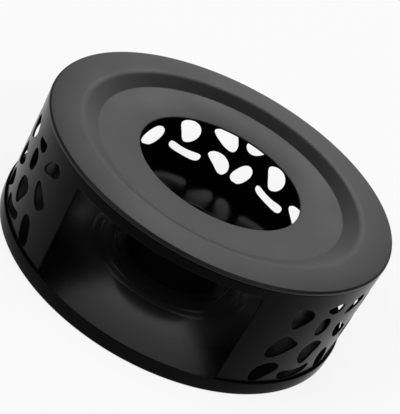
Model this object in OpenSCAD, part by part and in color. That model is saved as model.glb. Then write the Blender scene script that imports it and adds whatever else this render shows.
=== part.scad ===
// Teapot warmer: a coated sheet-steel drum with pebble-shaped vents, a front window and a loose candle cup.
// Millimetres. The origin is the middle of the underside, +Z is up and the window faces -Y.

/* [Overall] */
// Outer diameter of the top plate
top_d = 150; // [140:1:170]
// Height from the table to the rim that carries the teapot
total_h = 53; // [50:0.5:60]
// Thickness of the sheet that the top, wall and base are made of
sheet_t = 0.8; // [0.6:0.1:0.8]

/* [Top plate] */
// Diameter of the centre hole over the flame
hole_d = 70.8; // [60:0.2:80]
// Diameter at which the flat rim turns down into the step
step_outer_d = 122; // [120:1:126]
// Diameter at which the step meets the dished seat
step_inner_d = 107.4; // [104:0.2:112]
// Height of the step below the rim
step_drop = 3.3; // [2.5:0.1:5]
// Further fall of the dished seat from the step to the hole
dish_drop = 1.5; // [0.5:0.1:3]
// Radius of the edge that is turned down to meet the wall
edge_r = 0.9; // [0.9:0.1:1.5]

/* [Vented wall] */
// Angle that the front window takes out of the wall
window_angle = 62; // [50:0.5:64]
// Height of the strip of wall that is left over the window
header_h = 5.8; // [4:0.1:8]
// Number of times that the group of vents repeats round the wall
vent_groups = 8; // [1:1:8]
// Angle from one group of vents to the next
vent_pitch = 35.2; // [35:0.1:36]
// Angle from the edge of the window to the first column of vents
first_column = 13.5; // [13:0.5:16]

/* [Base tray] */
// Height of the rim round the foot of the wall
rim_h = 6.4; // [4:0.1:7]
// Diameter of the seat that the candle cup stands in, at its upper edge
seat_d = 52; // [52:0.5:56]
// Outer diameter of the raised ring round the seat
ring_d = 71; // [70:1:90]
// Height of the raised ring above the floor of the tray
ring_h = 0.8; // [0.7:0.1:1]

/* [Candle cup] */
// Diameter of the cup at its rim
cup_d = 45; // [44:0.2:48]
// Height of the cup
cup_h = 15.4; // [12:0.2:18]
// Thickness of the cup's sheet
cup_t = 0.7; // [0.5:0.1:1]
// How much the cup narrows on each side from rim to foot
cup_draft = 0.8; // [0.2:0.1:1.5]

/* [Hidden] */
$fn = 96;

coat = "#26272a";

// Top plate: radii and levels of the pressed profile
top_r = top_d / 2;
hole_z = total_h - step_drop - dish_drop;
step_z = total_h - step_drop;
rim_bend = 4;
seat_bend = 2;
skirt_h = edge_r + 0.7;

// Wall: it stands on the floor of the tray and carries the skirt of the top plate
wall_r = top_r - 0.1;
wall_foot = sheet_t;
wall_top = total_h - skirt_h;
window_top = total_h - header_h;
window_corner = 1.5;
front = 270;
cut_depth = 12;

// One group of vents. Each row is one pebble: angle from the start of the group, height above the table,
// length, width, taper towards the far end, bend of the long axis, tilt of the long axis and waist.
PEBBLES = [
    [ 0.0, 12.2, 12.6,  7.3, -0.18, -1.5,  39, 0.00], // kidney
    [ 1.2, 26.0,  9.4, 11.5,  0.55,  2.1, -58, 0.00], // three-sided stone
    [ 1.9, 39.9, 10.5,  8.5, -0.42, -1.1,  23, 0.00], // broad stone
    [12.5, 10.0, 16.8,  5.0, -0.14,  1.7,   8, 0.28], // crescent
    [14.0, 20.9, 12.1,  8.9,  0.10, -2.2,  66, 0.00], // drop
    [12.6, 34.2,  7.1,  8.9, -0.16, -0.2,   2, 0.00], // egg
    [14.0, 43.5,  8.6,  4.2,  0.30,  0.0,   0, 0.00], // flat chip
    [25.6, 12.5, 12.6,  7.0,  0.05,  0.0, -64, 0.00], // tall oval
    [25.5, 28.5, 11.8,  6.9,  0.30,  0.7, -41, 0.00], // slanted stone
    [25.9, 41.3, 11.3,  5.2,  0.32, -0.9,  26, 0.00]  // bean
];
pebble_points = 30;
pebble_fullness = 0.85;

// Base tray: the rim has a full round on its top edge
rim_t = 0.8;
rim_gap = 0.2;
base_r = wall_r + rim_gap + rim_t;
floor_bend = 0.4;
foot_bend = floor_bend + rim_t;
seat_r = seat_d / 2;
ring_top = sheet_t + ring_h;
seat_slope = 0.7;
ring_edge = 0.9;
ring_land = 6.3;
ring_shoulder = 9;

// Candle cup
cup_r = cup_d / 2;
cup_bend = 2.2;

// Points of an arc round [x, y] from angle a0 to angle a1
function arc(x, y, r, a0, a1, steps = 8) =
    [for (i = [0:steps]) let (a = a0 + (a1 - a0) * i / steps) [x + r * cos(a), y + r * sin(a)]];

// Unit normal to the right of the line from p to q
function right_of(p, q) = let (d = (q - p) / norm(q - p)) [d.y, -d.x];

// The path moved sideways by t, to the right of its direction, with mitred corners
function parallel(path, t) = let (last = len(path) - 1) [
    for (i = [0:last])
        let (
            a = right_of(path[max(i - 1, 0)], path[max(i, 1)]),
            b = right_of(path[min(i, last - 1)], path[min(i + 1, last)])
        )
        path[i] + (a + b) * t / (1 + a * b)
];

function backwards(path) = [for (i = [len(path) - 1:-1:0]) path[i]];

// Where a bend of radius r starts on the way from corner p towards q, when the path turns by angle turn
function bend_start(p, q, r, turn) = p + (q - p) / norm(q - p) * r * tan(abs(turn) / 2);

// A rounded corner at p on the way from a to b, with radius r
function corner(a, p, b, r, steps = 6) =
    let (
        u = (p - a) / norm(p - a),
        v = (b - p) / norm(b - p),
        turn = atan2(u.x * v.y - u.y * v.x, u * v),
        side = sign(turn),
        start = bend_start(p, a, r, turn),
        centre = start + side * r * [-u.y, u.x],
        from = atan2(start.y - centre.y, start.x - centre.x)
    )
    arc(centre.x, centre.y, r, from, from + turn, steps);

// A sheet of thickness t below the path, spun round the upright axis
module spun_sheet(path, t) {
    rotate_extrude()
        polygon(concat(path, backwards(parallel(path, t))));
}

// Outline of one vent: a tilted oval with a taper, a bent long axis and, on the crescent, a waist
function swell(v) = sign(v) * pow(abs(v), pebble_fullness);
function pebble(length, width, taper, bend, tilt, waist) = [
    for (i = [0:pebble_points - 1])
        let (
            a = 360 * i / pebble_points,
            along = swell(cos(a)),
            u = along * length / 2,
            girth = (1 + taper * cos(a) + waist * cos(2 * a)) * width / 2,
            v = swell(sin(a)) * girth + bend * (along * along - 0.5)
        )
        [u * cos(tilt) - v * sin(tilt), u * sin(tilt) + v * cos(tilt)]
];

// A cutter that points outwards at the given angle, with its drawing upright on the wall
module through_wall(angle, height) {
    rotate([0, 0, angle])
        translate([wall_r - cut_depth / 2, 0, height])
            rotate([90, 0, 90])
                linear_extrude(cut_depth)
                    children();
}

module vents() {
    start = front + window_angle / 2 + first_column;
    for (group = [0:vent_groups - 1], p = PEBBLES)
        through_wall(start + group * vent_pitch + p[0], p[1])
            polygon(pebble(p[2], p[3], p[4], p[5], p[6], p[7]));
}

// The window runs from under the header down through the foot of the wall
module window() {
    half = wall_r * sin(window_angle / 2);
    translate([-half, -2 * wall_r, -1])
        cube([2 * half, 2 * wall_r, window_top - window_corner + 1]);
    translate([-half + window_corner, -2 * wall_r, -1])
        cube([2 * (half - window_corner), 2 * wall_r, window_top + 1]);
    for (side = [-1, 1])
        translate([side * (half - window_corner), 0, window_top - window_corner])
            rotate([90, 0, 0])
                cylinder(r = window_corner, h = 2 * wall_r);
}

module top_plate() {
    hole = [hole_d / 2, hole_z];
    step_in = [step_inner_d / 2, step_z];
    step_out = [step_outer_d / 2, total_h];
    edge = [top_r, total_h];
    skirt = [top_r, total_h - skirt_h];
    path = concat(
        [hole],
        corner(hole, step_in, step_out, seat_bend),
        corner(step_in, step_out, edge, rim_bend),
        corner(step_out, edge, skirt, edge_r),
        [skirt]
    );
    color(coat) spun_sheet(path, sheet_t);
}

module vented_wall() {
    color(coat)
        difference() {
            translate([0, 0, wall_foot])
                cylinder(r = wall_r, h = wall_top - wall_foot);
            translate([0, 0, wall_foot - 1])
                cylinder(r = wall_r - sheet_t, h = wall_top - wall_foot + 2);
            window();
            vents();
        }
}

module base_tray() {
    // Top side, from the middle outwards: seat, raised ring, floor
    seat_foot = [seat_r - seat_slope, sheet_t];
    seat_edge = [seat_r, ring_top];
    land = [seat_r + ring_land, ring_top];
    slope = [ring_d / 2, sheet_t];
    inside = base_r - rim_t;
    pressed = concat(
        [[0, sheet_t]],
        corner([0, sheet_t], seat_foot, seat_edge, ring_edge),
        corner(seat_foot, seat_edge, land, ring_edge),
        corner(seat_edge, land, slope, ring_shoulder),
        corner(land, slope, [inside, sheet_t], ring_shoulder)
    );
    rim = concat(
        corner(slope, [inside, sheet_t], [inside, rim_h], floor_bend),
        arc(base_r - rim_t / 2, rim_h - rim_t / 2, rim_t / 2, 180, 0),
        arc(base_r - foot_bend, foot_bend, foot_bend, 0, -90)
    );
    color(coat)
        rotate_extrude()
            polygon(concat(pressed, rim, backwards(parallel(pressed, sheet_t))));
}

module candle_cup() {
    foot = [cup_r - cup_draft, 0];
    lip = [cup_r, cup_h];
    outside = concat([[0, 0]], corner([0, 0], foot, lip, cup_bend), [lip]);
    color(coat)
        translate([0, 0, sheet_t])
            rotate_extrude()
                polygon(concat(outside, backwards(parallel(outside, -cup_t))));
}

top_plate();
vented_wall();
base_tray();
candle_cup();
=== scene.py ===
# %% [markdown]
# A teapot warmer in black coated sheet steel
#
# The object is a low drum of pressed sheet: a stepped ring that carries the teapot, a rolled wall with
# pebble-shaped vents and an open window, a shallow tray underneath, and a loose cup for a tealight. The
# engineering model is loaded first and stays as it is. It fixes every size and place. This lesson then
# models the four sheets again with rounded bends and soft edges, because a coated sheet shows itself by the
# light along its edges, and gives each one its finish. Everything is in metres, with +Z up and the window
# at -Y.

import math

import bmesh
import bpy
from mathutils import Matrix, Vector


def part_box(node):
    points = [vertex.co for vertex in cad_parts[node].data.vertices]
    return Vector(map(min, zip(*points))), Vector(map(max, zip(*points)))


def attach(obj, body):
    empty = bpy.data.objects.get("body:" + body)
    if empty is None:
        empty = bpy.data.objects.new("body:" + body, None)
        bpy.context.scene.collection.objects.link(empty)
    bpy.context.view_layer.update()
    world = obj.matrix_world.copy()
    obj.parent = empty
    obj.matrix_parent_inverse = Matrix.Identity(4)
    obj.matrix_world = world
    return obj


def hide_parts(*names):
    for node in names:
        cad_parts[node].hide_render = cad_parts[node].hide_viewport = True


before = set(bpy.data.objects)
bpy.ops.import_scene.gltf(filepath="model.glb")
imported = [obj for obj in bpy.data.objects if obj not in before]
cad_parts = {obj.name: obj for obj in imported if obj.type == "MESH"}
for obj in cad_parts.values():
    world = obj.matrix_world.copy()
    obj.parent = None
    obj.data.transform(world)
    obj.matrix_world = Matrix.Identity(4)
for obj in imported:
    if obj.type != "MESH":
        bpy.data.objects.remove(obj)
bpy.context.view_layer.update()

MM = 0.001


def in_mm(lengths):
    """Lengths in millimetres, rounded for printing."""
    return [round(length / MM, 2) for length in lengths]


# %% [markdown]
# Sizes
#
# The outer sizes come from the loaded nodes, so the new pieces can't drift away from them. The sizes
# between, such as the step in the top, can't be read from a box, so they are written in the cells below as
# they are in the frame. Two things follow the photograph more closely than the frame does: the bend where
# the rim of the top turns down into the step is softer, and the vents lie up to two millimetres from those
# of the frame, with outlines that were fitted once more.

# %% Sizes of the sheets
SHEET = 0.8 * MM
TOP_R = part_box("top_plate")[1][0]
TOP_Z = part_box("top_plate")[1][2]
SKIRT_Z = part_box("vented_wall")[1][2]
WALL_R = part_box("vented_wall")[1][1]
WALL_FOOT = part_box("vented_wall")[0][2]
TRAY_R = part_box("base_tray")[1][0]
TRAY_RIM_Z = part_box("base_tray")[1][2]
CUP_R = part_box("candle_cup")[1][0]
CUP_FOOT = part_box("candle_cup")[0][2]
CUP_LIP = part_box("candle_cup")[1][2]
print("top, wall, tray and cup across:", in_mm([2 * TOP_R, 2 * WALL_R, 2 * TRAY_R, 2 * CUP_R]), "mm")

# %% [markdown]
# Pressing a round sheet
#
# Three of the pieces are pressed or drawn from a disc, so they are round and one sheet thick. A profile
# could be spun round the axis, but that leaves a seam to close. Here a circle is extruded ring by ring
# along the corners of the profile instead, so there is no seam. Each corner is a pair: its radius and its
# height.

# %% Rings of a pressed sheet
SIDES = 192


def deselect():
    """Back to object mode with nothing selected."""
    if bpy.context.mode != "OBJECT":
        bpy.ops.object.mode_set(mode="OBJECT")
    bpy.ops.object.select_all(action="DESELECT")


def first_ring(name, corner, fill):
    """A circle at the first corner of a profile, in edit mode, with its outer edge selected."""
    radius, height = corner
    deselect()
    bpy.ops.mesh.primitive_circle_add(
        vertices=SIDES, radius=radius, fill_type=fill, location=(0, 0, height)
    )
    bpy.ops.object.transform_apply(location=True)
    sheet = bpy.context.object
    sheet.name = sheet.data.name = name
    bpy.ops.object.mode_set(mode="EDIT")
    bpy.ops.mesh.select_mode(type="EDGE")
    bpy.ops.mesh.select_all(action="SELECT")
    if fill != "NOTHING":
        bpy.ops.mesh.region_to_loop()
    return sheet


def next_ring(corner, following):
    """Extrudes the selected ring from one corner of the profile to the following one."""
    bpy.ops.mesh.extrude_edges_move()
    grow = following[0] / corner[0]
    bpy.ops.transform.resize(value=(grow, grow, 1), center_override=(0, 0, 0))
    bpy.ops.transform.translate(value=(0, 0, following[1] - corner[1]))


print("ring helpers ready,", SIDES, "points on each ring")

# %% [markdown]
# Bends
#
# A press tool never leaves a sharp corner. Rounding could be left to a Bevel modifier, but every bend has a
# radius of its own, so each corner ring is found by its place and bevelled by itself. A bend of radius r
# that turns by an angle eats r * tan(angle / 2) of the flat on each side, and that is the width that the
# bevel operator needs.

# %% Bends and the whole press
NEAR = 0.01 * MM
BEND_STEPS = 6


def select_ring(sheet, corner):
    """Selects the ring of edges at one corner of the profile."""
    radius, height = corner
    bpy.ops.mesh.select_all(action="DESELECT")
    shape = bmesh.from_edit_mesh(sheet.data)
    for edge in shape.edges:
        off_radius = max(abs(point.co.xy.length - radius) for point in edge.verts)
        off_height = max(abs(point.co.z - height) for point in edge.verts)
        edge.select_set(max(off_radius, off_height) < NEAR)
    bmesh.update_edit_mesh(sheet.data)


def turn_at(before, corner, after):
    """Angle by which a profile turns at a corner."""
    way_in = Vector(corner) - Vector(before)
    way_out = Vector(after) - Vector(corner)
    return way_in.angle(way_out)


def bend_ring(sheet, profile, index, radius):
    """Rounds the ring at one corner of the profile to a bend of that radius."""
    select_ring(sheet, profile[index])
    width = radius * math.tan(turn_at(*profile[index - 1:index + 2]) / 2)
    bpy.ops.mesh.bevel(offset=width, segments=BEND_STEPS, affect="EDGES", clamp_overlap=True)


def press(name, profile, bends, fill="NOTHING"):
    """A round sheet without thickness along the corners of a profile, with its bends rounded."""
    sheet = first_ring(name, profile[0], fill)
    for corner, following in zip(profile, profile[1:]):
        next_ring(corner, following)
    for index, radius in bends.items():
        bend_ring(sheet, profile, index, radius)
    bpy.ops.mesh.select_all(action="SELECT")
    bpy.ops.mesh.normals_make_consistent(inside=False)
    bpy.ops.object.mode_set(mode="OBJECT")
    return sheet


print("bend helpers ready,", BEND_STEPS, "steps in each bend")

# %% [markdown]
# Thickness
#
# The pressed sheet is still a skin. Solidify gives it its thickness behind its faces, so the faces have to
# look the right way first. Where the sheet was cut, its edges are then square, and a narrow bevel rounds
# them as a coat of paint does. The angle limit keeps that bevel off the bends.

# %% Thickness and handing over
CUT_ANGLE = math.radians(50)
SMOOTH_ANGLE = math.radians(38)


def face_way(sheet, upwards):
    """Turns all faces over if the sheet as a whole doesn't look up, or down, as it should."""
    lift = sum(face.normal.z * face.area for face in sheet.data.polygons)
    if (lift > 0) != upwards:
        bpy.ops.object.mode_set(mode="EDIT")
        bpy.ops.mesh.select_all(action="SELECT")
        bpy.ops.mesh.flip_normals()
        bpy.ops.object.mode_set(mode="OBJECT")


def apply_all(piece):
    """Applies the piece's modifiers in their order."""
    deselect()
    piece.select_set(True)
    bpy.context.view_layer.objects.active = piece
    for modifier in list(piece.modifiers):
        bpy.ops.object.modifier_apply(modifier=modifier.name)


def thicken(sheet, thickness, edge_round, edge_steps):
    """Gives the sheet its thickness behind its faces and rounds the edges where it was cut."""
    body = sheet.modifiers.new("thickness", "SOLIDIFY")
    body.thickness = thickness
    body.offset = -1
    body.use_even_offset = True
    edge = sheet.modifiers.new("cut edges", "BEVEL")
    edge.limit_method = "ANGLE"
    edge.angle_limit = CUT_ANGLE
    edge.width = edge_round
    edge.segments = edge_steps
    apply_all(sheet)
    bpy.ops.object.shade_smooth_by_angle(angle=SMOOTH_ANGLE)


def hand_over(piece, body, node):
    """Lets the piece ride on its body and stand for its node, whose engineering part is hidden."""
    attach(piece, body)
    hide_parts(node)
    print(f"{piece.name}: {len(piece.data.polygons)} faces, stands for {node}")


print("thickness helpers ready")

# %% [markdown]
# The top plate
#
# On the real warmer this is a pressed ring. A flat rim carries the pot, a step falls to a dished seat, and
# the centre is open over the flame. The outer edge is turned down to meet the wall. The profile is followed
# from the hole to the skirt, on the upper side of the sheet, and the thickness goes downwards.

# %% Press the top plate
HOLE = (35.4 * MM, TOP_Z - 4.8 * MM)
STEP_IN = (53.7 * MM, TOP_Z - 3.3 * MM)
STEP_OUT = (61.0 * MM, TOP_Z)
TOP_EDGE = (TOP_R, TOP_Z)
SKIRT = (TOP_R, SKIRT_Z)
SEAT_BEND = 2.0 * MM
RIM_BEND = 8.0 * MM
EDGE_BEND = 0.9 * MM
PLATE_CUT = 0.25 * MM

plate_profile = [HOLE, STEP_IN, STEP_OUT, TOP_EDGE, SKIRT]
plate_bends = {1: SEAT_BEND, 2: RIM_BEND, 3: EDGE_BEND}
plate = press("pressed_top_plate", plate_profile, plate_bends)
face_way(plate, upwards=True)
thicken(plate, SHEET, edge_round=PLATE_CUT, edge_steps=3)
hand_over(plate, "warmer", "top_plate")

# %% [markdown]
# The base tray
#
# The tray is one pressed sheet as well: a flat seat for the cup, a low ring round it, a floor, and an
# upturned rim that holds the foot of the wall. The first ring is filled here, because the seat is closed.
# The top edge of the rim is almost a full round, so its cut edges get a wider bevel than those of the
# plate.

# %% Press the base tray
RING_Z = 1.6 * MM
SEAT_FLAT = (20.0 * MM, SHEET)
SEAT_FOOT = (25.3 * MM, SHEET)
SEAT_EDGE = (26.0 * MM, RING_Z)
RING_LAND = (32.3 * MM, RING_Z)
RING_FOOT = (35.5 * MM, SHEET)
TRAY_CORNER = (TRAY_R - SHEET, SHEET)
TRAY_RIM = (TRAY_R - SHEET, TRAY_RIM_Z)
RING_EDGE = 0.9 * MM
RING_SHOULDER = 9.0 * MM
FLOOR_BEND = 0.4 * MM
RIM_CUT = 0.36 * MM

tray_profile = [SEAT_FLAT, SEAT_FOOT, SEAT_EDGE, RING_LAND, RING_FOOT, TRAY_CORNER, TRAY_RIM]
tray_bends = {1: RING_EDGE, 2: RING_EDGE, 3: RING_SHOULDER, 4: RING_SHOULDER, 5: FLOOR_BEND}
tray = press("pressed_base_tray", tray_profile, tray_bends, fill="NGON")
face_way(tray, upwards=True)
thicken(tray, SHEET, edge_round=RIM_CUT, edge_steps=4)
hand_over(tray, "warmer", "base_tray")

# %% [markdown]
# The candle cup
#
# The cup is drawn from one disc, so it has a generous bend at its foot and a wall that leans out a little.
# It is followed on its outside, from the bottom to the lip, and the thickness goes inwards.

# %% Draw the candle cup
CUP_SHEET = 0.7 * MM
CUP_DRAFT = 0.8 * MM
CUP_BEND = 2.2 * MM
LIP_CUT = 0.28 * MM
CUP_BOTTOM = (16.0 * MM, CUP_FOOT)
CUP_CORNER = (CUP_R - CUP_DRAFT, CUP_FOOT)
CUP_EDGE = (CUP_R, CUP_LIP)

cup = press("drawn_candle_cup", [CUP_BOTTOM, CUP_CORNER, CUP_EDGE], {1: CUP_BEND}, fill="NGON")
face_way(cup, upwards=False)
thicken(cup, CUP_SHEET, edge_round=LIP_CUT, edge_steps=4)
hand_over(cup, "cup", "candle_cup")

# %% [markdown]
# The vents of the wall
#
# One group of ten pebbles repeats round the wall. They could be traced point by point, but a few words
# describe a pebble well enough: an oval with a length and a width, a taper, a bent long axis and a tilt.
# The crescent has a waist as well. The outlines are drawn on the unrolled wall, where the back of the
# warmer is in the middle.

# %% One group of vents
PEBBLES = {
    # angle in the group, height, length, width, taper, bend, tilt and waist (millimetres and degrees)
    "kidney": (0.0, 12.1, 12.8, 7.4, -0.15, -1.6, 34, 0.0),
    "three_sided": (1.0, 26.0, 9.6, 12.0, 0.52, 2.2, -58, 0.0),
    "broad": (2.5, 39.7, 9.9, 8.8, -0.36, -1.0, 21, 0.0),
    "crescent": (12.8, 10.0, 16.6, 5.6, -0.12, 1.25, 7, 0.30),
    "drop": (14.4, 20.5, 11.9, 9.0, 0.10, -1.8, 66, 0.0),
    "egg": (13.4, 34.2, 6.9, 8.7, -0.16, 0.0, 5, 0.0),
    "flat_chip": (14.6, 42.8, 8.6, 4.1, 0.36, 0.8, 4, 0.0),
    "tall_oval": (25.7, 12.5, 12.4, 7.0, 0.06, 0.2, -64, 0.0),
    "slanted": (25.0, 28.7, 11.5, 6.2, 0.28, 0.9, -37, 0.0),
    "bean": (25.4, 41.4, 11.6, 5.2, 0.38, -0.7, 27, 0.0),
}
PEBBLE_POINTS = 44
PEBBLE_FULLNESS = 0.85
BEND_MIDDLE = 0.5


def swell(value):
    """Fills out a sine or cosine, so that an oval becomes fuller."""
    return math.copysign(abs(value) ** PEBBLE_FULLNESS, value)


def pebble_outline(length, width, taper, bend, tilt, waist):
    """Points of one vent round its own middle, seen from outside, in metres."""
    turn = math.radians(tilt)
    outline = []
    for step in range(PEBBLE_POINTS):
        angle = 2 * math.pi * step / PEBBLE_POINTS
        along = swell(math.cos(angle))
        u = along * length / 2
        girth = (1 + taper * math.cos(angle) + waist * math.cos(2 * angle)) * width / 2
        v = swell(math.sin(angle)) * girth + bend * (along * along - BEND_MIDDLE)
        x = u * math.cos(turn) - v * math.sin(turn)
        z = u * math.sin(turn) + v * math.cos(turn)
        outline.append((x * MM, z * MM))
    return outline


print(len(PEBBLES), "pebbles in a group:", ", ".join(PEBBLES))

# %% All vents on the unrolled wall
VENT_GROUPS = 8
VENT_PITCH = 35.1
WINDOW_ANGLE = 62.0
FIRST_COLUMN = 14.1
FRONT = 270.0
BACK = 90.0


def along_wall(angle):
    """Place on the unrolled wall of an angle round the axis: the back is 0 and the front is at both ends."""
    from_back = (BACK - angle + 180) % 360 - 180
    return WALL_R * math.radians(from_back)


vents = []
for group in range(VENT_GROUPS):
    group_start = FRONT + WINDOW_ANGLE / 2 + FIRST_COLUMN + group * VENT_PITCH
    for angle, height, *shape in PEBBLES.values():
        middle = along_wall(group_start + angle)
        vents.append([(middle - x, height * MM + z) for x, z in pebble_outline(*shape)])
print(len(vents), "vents drawn on the flat wall")

# %% [markdown]
# The flat sheet of the wall
#
# A press shop blanks the wall flat, with all its vents, and then rolls it. The lesson does the same.
# Cutting the vents out of a finished tube with booleans would leave hard, ragged edges. A filled flat curve
# takes any number of holes, and its own bevel rounds every cut edge the way a punched and coated sheet is
# rounded. The sheet is drawn a little too long, so that its bevelled ends can be cut off square before they
# meet at the front.

# %% Outline of the flat sheet
HEADER = TOP_Z - 5.8 * MM
WINDOW_CORNER = 1.5 * MM
FILLET_STEPS = 6
WINDOW_EDGE = WALL_R * math.radians(180 - WINDOW_ANGLE / 2)
WALL_END = math.pi * WALL_R
SPARE = 4 * MM


def window_fillet(side):
    """The rounded corner between the edge of the window and the strip over it, going upwards."""
    points = []
    for step in range(FILLET_STEPS + 1):
        angle = math.radians(180 - 90 * step / FILLET_STEPS)
        x = WINDOW_EDGE + WINDOW_CORNER * (1 + math.cos(angle))
        points.append((side * x, HEADER - WINDOW_CORNER * (1 - math.sin(angle))))
    return points


long_end = WALL_END + SPARE
sheet_outline = [(-WINDOW_EDGE, WALL_FOOT), (WINDOW_EDGE, WALL_FOOT)]
sheet_outline += window_fillet(1)
sheet_outline += [(long_end, HEADER), (long_end, SKIRT_Z), (-long_end, SKIRT_Z), (-long_end, HEADER)]
sheet_outline += window_fillet(-1)[::-1]
print("outline of the sheet:", len(sheet_outline), "points")

# %% The sheet as a filled curve, made a mesh
CUT_ROUND = 0.22 * MM

flat = bpy.data.curves.new("rolled_pebble_wall", "CURVE")
flat.dimensions = "2D"
flat.fill_mode = "BOTH"
flat.extrude = SHEET / 2 - CUT_ROUND
flat.bevel_depth = CUT_ROUND
flat.bevel_resolution = 1
flat.offset = -CUT_ROUND
for outline in [sheet_outline] + vents:
    spline = flat.splines.new("POLY")
    spline.points.add(len(outline) - 1)
    for point, (x, z) in zip(spline.points, outline):
        point.co = (x, z, 0, 1)
    spline.use_cyclic_u = True

deselect()
wall = bpy.data.objects.new("rolled_pebble_wall", flat)
bpy.context.collection.objects.link(wall)
wall.select_set(True)
bpy.context.view_layer.objects.active = wall
bpy.ops.object.convert(target="MESH")
wall = bpy.context.object
print("flat sheet:", len(wall.data.polygons), "faces,", in_mm(wall.dimensions), "mm")

# %% [markdown]
# Rolling the wall
#
# The flat sheet is sliced into narrow strips, so that it can follow the roll. It is stood up and rolled by
# the Simple Deform modifier. Wrapping it with a curve modifier would work as well, but the bend needs no
# second object. At the front the two ends meet, and their points are merged, so that the strip over the
# window is whole.

# %% Slice the sheet into strips and roll it
STRIPS = 180
CURVE_MERGE = 0.002 * MM

bpy.ops.object.mode_set(mode="EDIT")
bpy.ops.mesh.select_all(action="SELECT")
bpy.ops.mesh.remove_doubles(threshold=CURVE_MERGE)
for side in (-1, 1):
    bpy.ops.mesh.select_all(action="SELECT")
    bpy.ops.mesh.bisect(plane_co=(side * WALL_END, 0, 0), plane_no=(side, 0, 0), clear_outer=True)
for strip in range(1, STRIPS):
    bpy.ops.mesh.select_all(action="SELECT")
    cut = WALL_END * (2 * strip / STRIPS - 1)
    bpy.ops.mesh.bisect(plane_co=(cut, 0, 0), plane_no=(1, 0, 0))
bpy.ops.object.mode_set(mode="OBJECT")

wall.rotation_euler = (math.radians(90), 0, 0)
wall.location = (0, -SHEET / 2, 0)
bpy.ops.object.transform_apply(location=True, rotation=True)
roll = wall.modifiers.new("roll", "SIMPLE_DEFORM")
roll.deform_method = "BEND"
roll.deform_axis = "Z"
roll.angle = -2 * math.pi
apply_all(wall)
wall.location = (0, WALL_R, 0)
bpy.ops.object.transform_apply(location=True)
print("rolled wall:", len(wall.data.polygons), "faces,", in_mm(wall.dimensions), "mm")

# %% Close the seam and even out the shading
SEAM_MERGE = 0.04 * MM


def select_seam(rolled):
    """Selects the points at the front, where the two ends of the wall meet."""
    bpy.ops.mesh.select_all(action="DESELECT")
    bpy.ops.mesh.select_mode(type="VERT")
    shape = bmesh.from_edit_mesh(rolled.data)
    for point in shape.verts:
        point.select_set(abs(point.co.x) < NEAR and point.co.y < 0)
    bmesh.update_edit_mesh(rolled.data)


bpy.ops.object.mode_set(mode="EDIT")
bpy.ops.mesh.select_all(action="SELECT")
bpy.ops.mesh.remove_doubles(threshold=NEAR)
select_seam(wall)
bpy.ops.mesh.remove_doubles(threshold=SEAM_MERGE)
bpy.ops.mesh.select_all(action="SELECT")
bpy.ops.mesh.normals_make_consistent(inside=False)
bpy.ops.object.mode_set(mode="OBJECT")
bpy.ops.object.shade_smooth_by_angle(angle=SMOOTH_ANGLE)
even = wall.modifiers.new("even shading", "WEIGHTED_NORMAL")
even.keep_sharp = True
apply_all(wall)
hand_over(wall, "warmer", "vented_wall")

# %% [markdown]
# Shader helpers
#
# A finish is easier to read as sums than as a list of nodes. A Wire holds one socket's value and turns +
# and * into Math nodes. A Coat holds one material, and its node method adds any other node: first its
# settings, then the values or wires of its sockets.

# %% Wire
class Wire:
    """The value on one output socket."""

    def __init__(self, coat, socket):
        self.coat = coat
        self.socket = socket

    def maths(self, operation, other):
        """Adds a Math node on this value and another one."""
        return self.coat.node("ShaderNodeMath", {"operation": operation}, {0: self, 1: other})

    def __add__(self, other):
        return self.maths("ADD", other)

    __radd__ = __add__

    def __mul__(self, other):
        return self.maths("MULTIPLY", other)

    __rmul__ = __mul__


print("wires ready")

# %% Coat
class Coat:
    """One node material with a Principled shader."""

    def __init__(self, name):
        self.material = bpy.data.materials.new(name)
        self.material.use_nodes = True
        self.tree = self.material.node_tree
        self.shader = self.tree.nodes["Principled BSDF"]
        self.place = self.node("ShaderNodeTexCoord", {}, {}, output="Object")

    def put(self, socket, value):
        """Links a wire to an input socket, or sets a plain value on it."""
        if isinstance(value, Wire):
            self.tree.links.new(value.socket, socket)
        else:
            socket.default_value = value

    def node(self, kind, settings, sockets, output=0):
        """Adds a node, with its settings before its sockets, and returns one of its outputs."""
        added = self.tree.nodes.new(kind)
        for name, value in settings.items():
            setattr(added, name, value)
        for name, value in sockets.items():
            self.put(added.inputs[name], value)
        return Wire(self, added.outputs[output])

    def shade(self, **sockets):
        """Sets the Principled shader's sockets: Base_Color stands for Base Color."""
        for name, value in sockets.items():
            self.put(self.shader.inputs[name.replace("_", " ")], value)

    def paint(self, piece):
        """Gives the material to a piece."""
        piece.data.materials.clear()
        piece.data.materials.append(self.material)
        print(f"{self.material.name}: {len(self.tree.nodes)} nodes on {piece.name}")


print("coats ready")

# %% Nodes that the finishes share
NOISE_LOW = 0.35
NOISE_HIGH = 0.65
# Places of the two colours and of their mixture among the sockets of a Mix node
MIX_FIRST = 6
MIX_SECOND = 7
MIX_RESULT = 2


def noise(coat, size, detail, roughness):
    """A noise whose features are about that long, in metres."""
    sockets = {"Vector": coat.place, "Scale": 1 / size, "Detail": detail, "Roughness": roughness}
    return coat.node("ShaderNodeTexNoise", {}, sockets)


def spread(coat, value, low, high):
    """Stretches the middle of a noise over the range from low to high."""
    sockets = {"Value": value, "From Min": NOISE_LOW, "From Max": NOISE_HIGH, "To Min": low, "To Max": high}
    return coat.node("ShaderNodeMapRange", {}, sockets)


def blend(coat, factor, first, second):
    """Goes from the first colour to the second as the factor goes from 0 to 1."""
    sockets = {0: factor, MIX_FIRST: first, MIX_SECOND: second}
    return coat.node("ShaderNodeMix", {"data_type": "RGBA"}, sockets, output=MIX_RESULT)


def from_axis(coat):
    """Distance of a point from the upright axis of the warmer."""
    level = coat.node("ShaderNodeVectorMath", {"operation": "MULTIPLY"}, {0: coat.place, 1: (1, 1, 0)})
    return coat.node("ShaderNodeVectorMath", {"operation": "LENGTH"}, {0: level}, output="Value")


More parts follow.
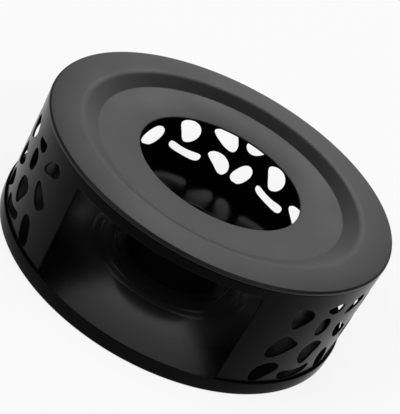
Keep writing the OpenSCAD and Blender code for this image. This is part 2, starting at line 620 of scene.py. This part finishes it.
def within(coat, start, full):
    """A mask that rises from 0 to 1 between two distances from the axis."""
    sockets = {"Value": from_axis(coat), "From Min": start, "From Max": full}
    return coat.node("ShaderNodeMapRange", {}, sockets)


print("noise, colour and distance helpers ready")

# %% [markdown]
# The black coat
#
# All four sheets carry a heat-proof black coating. It isn't one flat black. The film flows a little before
# it sets, so the surface has a fine peel of about half a millimetre. It is thicker in some places than in
# others, which shows as soft clouds in its gloss, and a little dust sits in it. One recipe serves all
# pieces, with a drier, greyer film on the top and a smoother one on the wall and the tray. The coat hardly
# mirrors what it faces, but it has a strong sheen at a glancing angle. A plain gloss would mirror too much
# of the pale floor, so the shader's Specular Tint turns down the mirror image seen square on and leaves the
# sheen.

# %% The recipe of the coat
PEEL_SIZE = 0.55 * MM
CLOUD_SIZE = 26 * MM
DUST_SIZE = 0.16 * MM
CLOUD_TONE = 0.6
PEEL_TONE = 0.25
DUST_TONE = 0.15
CLOUD_GLOSS = 0.7
DUST_GLOSS = 0.3
DUST_RELIEF = 0.3
PEEL_STRENGTH = 0.35
COOL = 1.03


def grey(level):
    """A grey with a trace of blue."""
    return (level, level, COOL * level, 1)


def black_coat(name, deep, pale, gloss_low, gloss_high, peel_depth, ior, face_shine):
    """A coated-steel finish between two greys and two roughnesses, with a fine peel."""
    coat = Coat(name)
    cloud = noise(coat, CLOUD_SIZE, detail=4.0, roughness=0.55)
    peel = noise(coat, PEEL_SIZE, detail=2.0, roughness=0.5)
    dust = noise(coat, DUST_SIZE, detail=1.0, roughness=0.5)
    film = cloud * CLOUD_TONE + peel * PEEL_TONE + dust * DUST_TONE
    tone = spread(coat, film, low=0.0, high=1.0)
    coat.colour = blend(coat, tone, grey(deep), grey(pale))
    coat.gloss = spread(coat, cloud * CLOUD_GLOSS + dust * DUST_GLOSS, gloss_low, gloss_high)
    height = {"Height": peel + dust * DUST_RELIEF, "Strength": PEEL_STRENGTH, "Distance": peel_depth}
    relief = coat.node("ShaderNodeBump", {}, height)
    coat.shade(Base_Color=coat.colour, Roughness=coat.gloss, Normal=relief)
    coat.shade(IOR=ior, Specular_Tint=(face_shine, face_shine, face_shine, 1))
    return coat


print("coat recipe ready")

# %% Matte coat of the top and satin coat of the cup
top_coat = black_coat(
    "matte_top_coat", deep=0.0045, pale=0.0075, gloss_low=0.36, gloss_high=0.42,
    peel_depth=0.05 * MM, ior=1.5, face_shine=0.2,
)
top_coat.paint(plate)

cup_coat = black_coat(
    "satin_cup_coat", deep=0.003, pale=0.006, gloss_low=0.26, gloss_high=0.32,
    peel_depth=0.03 * MM, ior=1.5, face_shine=0.4,
)
cup_coat.paint(cup)

# %% [markdown]
# Where the coat changes
#
# The wall is sprayed from outside, so its inner side gets a thin, dull film. The same sheet has both sides,
# so the recipe finds the inner side by its distance from the axis. In the middle of the tray the film is
# painted a lighter grey: painted light that stands in for the light falling on the tray floor.

# %% Satin coat of the wall, dull inside
INSIDE_START = WALL_R - 0.3 * MM
INSIDE_FULL = WALL_R - 0.5 * MM
INSIDE_DULL = 0.7

wall_coat = black_coat(
    "satin_wall_coat", deep=0.0016, pale=0.003, gloss_low=0.22, gloss_high=0.28,
    peel_depth=0.03 * MM, ior=1.17, face_shine=0.1,
)
wall_coat.shade(Roughness=wall_coat.gloss + within(wall_coat, INSIDE_START, INSIDE_FULL) * INSIDE_DULL)
wall_coat.paint(wall)

# %% Satin coat of the tray, with painted light in the middle
# Painted light: the middle of the tray floor is painted a lighter grey, standing in for the light that falls
# on it.
LIT_FLOOR_START = 52 * MM
LIT_FLOOR_FULL = 40 * MM
PAINTED_LIGHT_GREY = 0.014

base_coat = black_coat(
    "satin_base_coat", deep=0.0014, pale=0.0028, gloss_low=0.16, gloss_high=0.20,
    peel_depth=0.03 * MM, ior=1.11, face_shine=1.0,
)
painted_light = within(base_coat, LIT_FLOOR_START, LIT_FLOOR_FULL)
base_coat.shade(Base_Color=blend(base_coat, painted_light, base_coat.colour, grey(PAINTED_LIGHT_GREY)))
base_coat.paint(tray)

# %% [markdown]
# Floor and light
#
# A black object is drawn by what it mirrors. The bright part of the studio is behind it, in two heights, so
# that the flat top picks up a grey sheen. A small bright core in it is what the tray mirrors through the
# hole. The space above is dim, so that the far side of the step stays dark. Two soft boxes in front, left
# and right, light the floor evenly. The floor is a wide pale disc. Part of its light is its own, for rays
# from the camera and from mirror images, so that it stays near white in the picture and in the sheen of the
# wall, and still carries the shadow.

# %% Floor
FLOOR_R = 6
FLOOR_SIDES = 96

deselect()
bpy.ops.mesh.primitive_circle_add(
    vertices=FLOOR_SIDES, radius=FLOOR_R, fill_type="NGON", location=(0, 0, 0)
)
floor = bpy.context.object
floor.name = "studio_floor"
print("floor", 2 * FLOOR_R, "m across")

# %% Paper of the floor
WHITE = (1, 1, 1, 1)
PAPER_DARK = (0.93, 0.93, 0.93, 1)
PAPER_PALE = (0.96, 0.96, 0.96, 1)
PAPER_GRAIN = 1.1 * MM
PAPER_GLOW = 0.82


def rays(coat, kind):
    """1 where the paper is seen by that kind of ray, and 0 elsewhere."""
    return coat.node("ShaderNodeLightPath", {}, {}, output=kind)


paper = Coat("pale_paper")
grain = noise(paper, PAPER_GRAIN, detail=2.0, roughness=0.5)
tint = blend(paper, grain, PAPER_DARK, PAPER_PALE)
paper.shade(Base_Color=tint, Roughness=0.9, Specular_IOR_Level=0.0)
seen = rays(paper, "Is Camera Ray") + rays(paper, "Is Glossy Ray") + rays(paper, "Is Transmission Ray")
glow = paper.node("ShaderNodeEmission", {}, {"Color": WHITE, "Strength": 1.0})
lit = Wire(paper, paper.shader.outputs["BSDF"])
white = paper.node("ShaderNodeMixShader", {}, {0: seen * PAPER_GLOW, 1: lit, 2: glow})
paper.put(paper.tree.nodes["Material Output"].inputs["Surface"], white)
paper.paint(floor)

# %% World: a dim room
ROOM = 0.2

world = bpy.data.worlds.new("studio")
bpy.context.scene.world = world
world.use_nodes = True
background = world.node_tree.nodes["Background"]
background.inputs["Color"].default_value = WHITE
background.inputs["Strength"].default_value = ROOM
print("room light", ROOM)

# %% Lamps
AIM = Vector((0, 0, 0.03))


def soft_lamp(name, azimuth, elevation, distance, width, height, watts):
    """A soft box that looks at the object. Azimuth 0 is in front and goes round to the right."""
    around, up = math.radians(azimuth), math.radians(elevation)
    way_out = Vector((math.sin(around) * math.cos(up), -math.cos(around) * math.cos(up), math.sin(up)))
    lamp = bpy.data.lights.new(name, "AREA")
    lamp.shape = "RECTANGLE"
    lamp.size = width
    lamp.size_y = height
    lamp.energy = watts
    holder = bpy.data.objects.new(name, lamp)
    holder.location = AIM + way_out * distance
    holder.rotation_euler = way_out.to_track_quat("Z", "Y").to_euler()
    bpy.context.collection.objects.link(holder)
    print(f"{name}: {watts} W at {azimuth} degrees, {elevation} up")


soft_lamp("back_box", azimuth=183, elevation=42, distance=1.2, width=0.6, height=0.42, watts=1.7)
soft_lamp("back_core", azimuth=183, elevation=40, distance=1.15, width=0.2, height=0.26, watts=0.8)
soft_lamp("low_back_box", azimuth=183, elevation=17, distance=1.2, width=0.84, height=0.7, watts=1.7)
soft_lamp("left_box", azimuth=-50, elevation=40, distance=1.3, width=1.0, height=1.0, watts=8)
soft_lamp("right_box", azimuth=50, elevation=40, distance=1.3, width=1.0, height=1.0, watts=8)

# %% [markdown]
# The camera
#
# The photograph was taken with a long lens from about half a metre, looking down by thirty degrees, and the
# camera was rolled, so the warmer seems to slope. The camera is placed, aimed at a point close to the axis
# and then turned about its own view line by the roll.

# %% Camera
CAMERA_AT = Vector((0.02266, -0.45442, 0.28994))
CAMERA_AIM = Vector((-0.00057, -0.00003, 0.02911))
CAMERA_ROLL = math.radians(29.239)
CAMERA_LENS = 112.29
CAMERA_SENSOR = 36
CLIP_START = 0.01

lens = bpy.data.cameras.new("photo_camera")
lens.lens = CAMERA_LENS
lens.sensor_width = CAMERA_SENSOR
lens.clip_start = CLIP_START
camera = bpy.data.objects.new("photo_camera", lens)
look = (CAMERA_AIM - CAMERA_AT).to_track_quat("-Z", "Y").to_matrix().to_4x4()
camera.matrix_world = Matrix.Translation(CAMERA_AT) @ look @ Matrix.Rotation(CAMERA_ROLL, 4, "Z")
bpy.context.collection.objects.link(camera)
bpy.context.scene.camera = camera
bpy.context.scene.view_settings.view_transform = "Standard"
print("camera at", in_mm(CAMERA_AT), "mm")
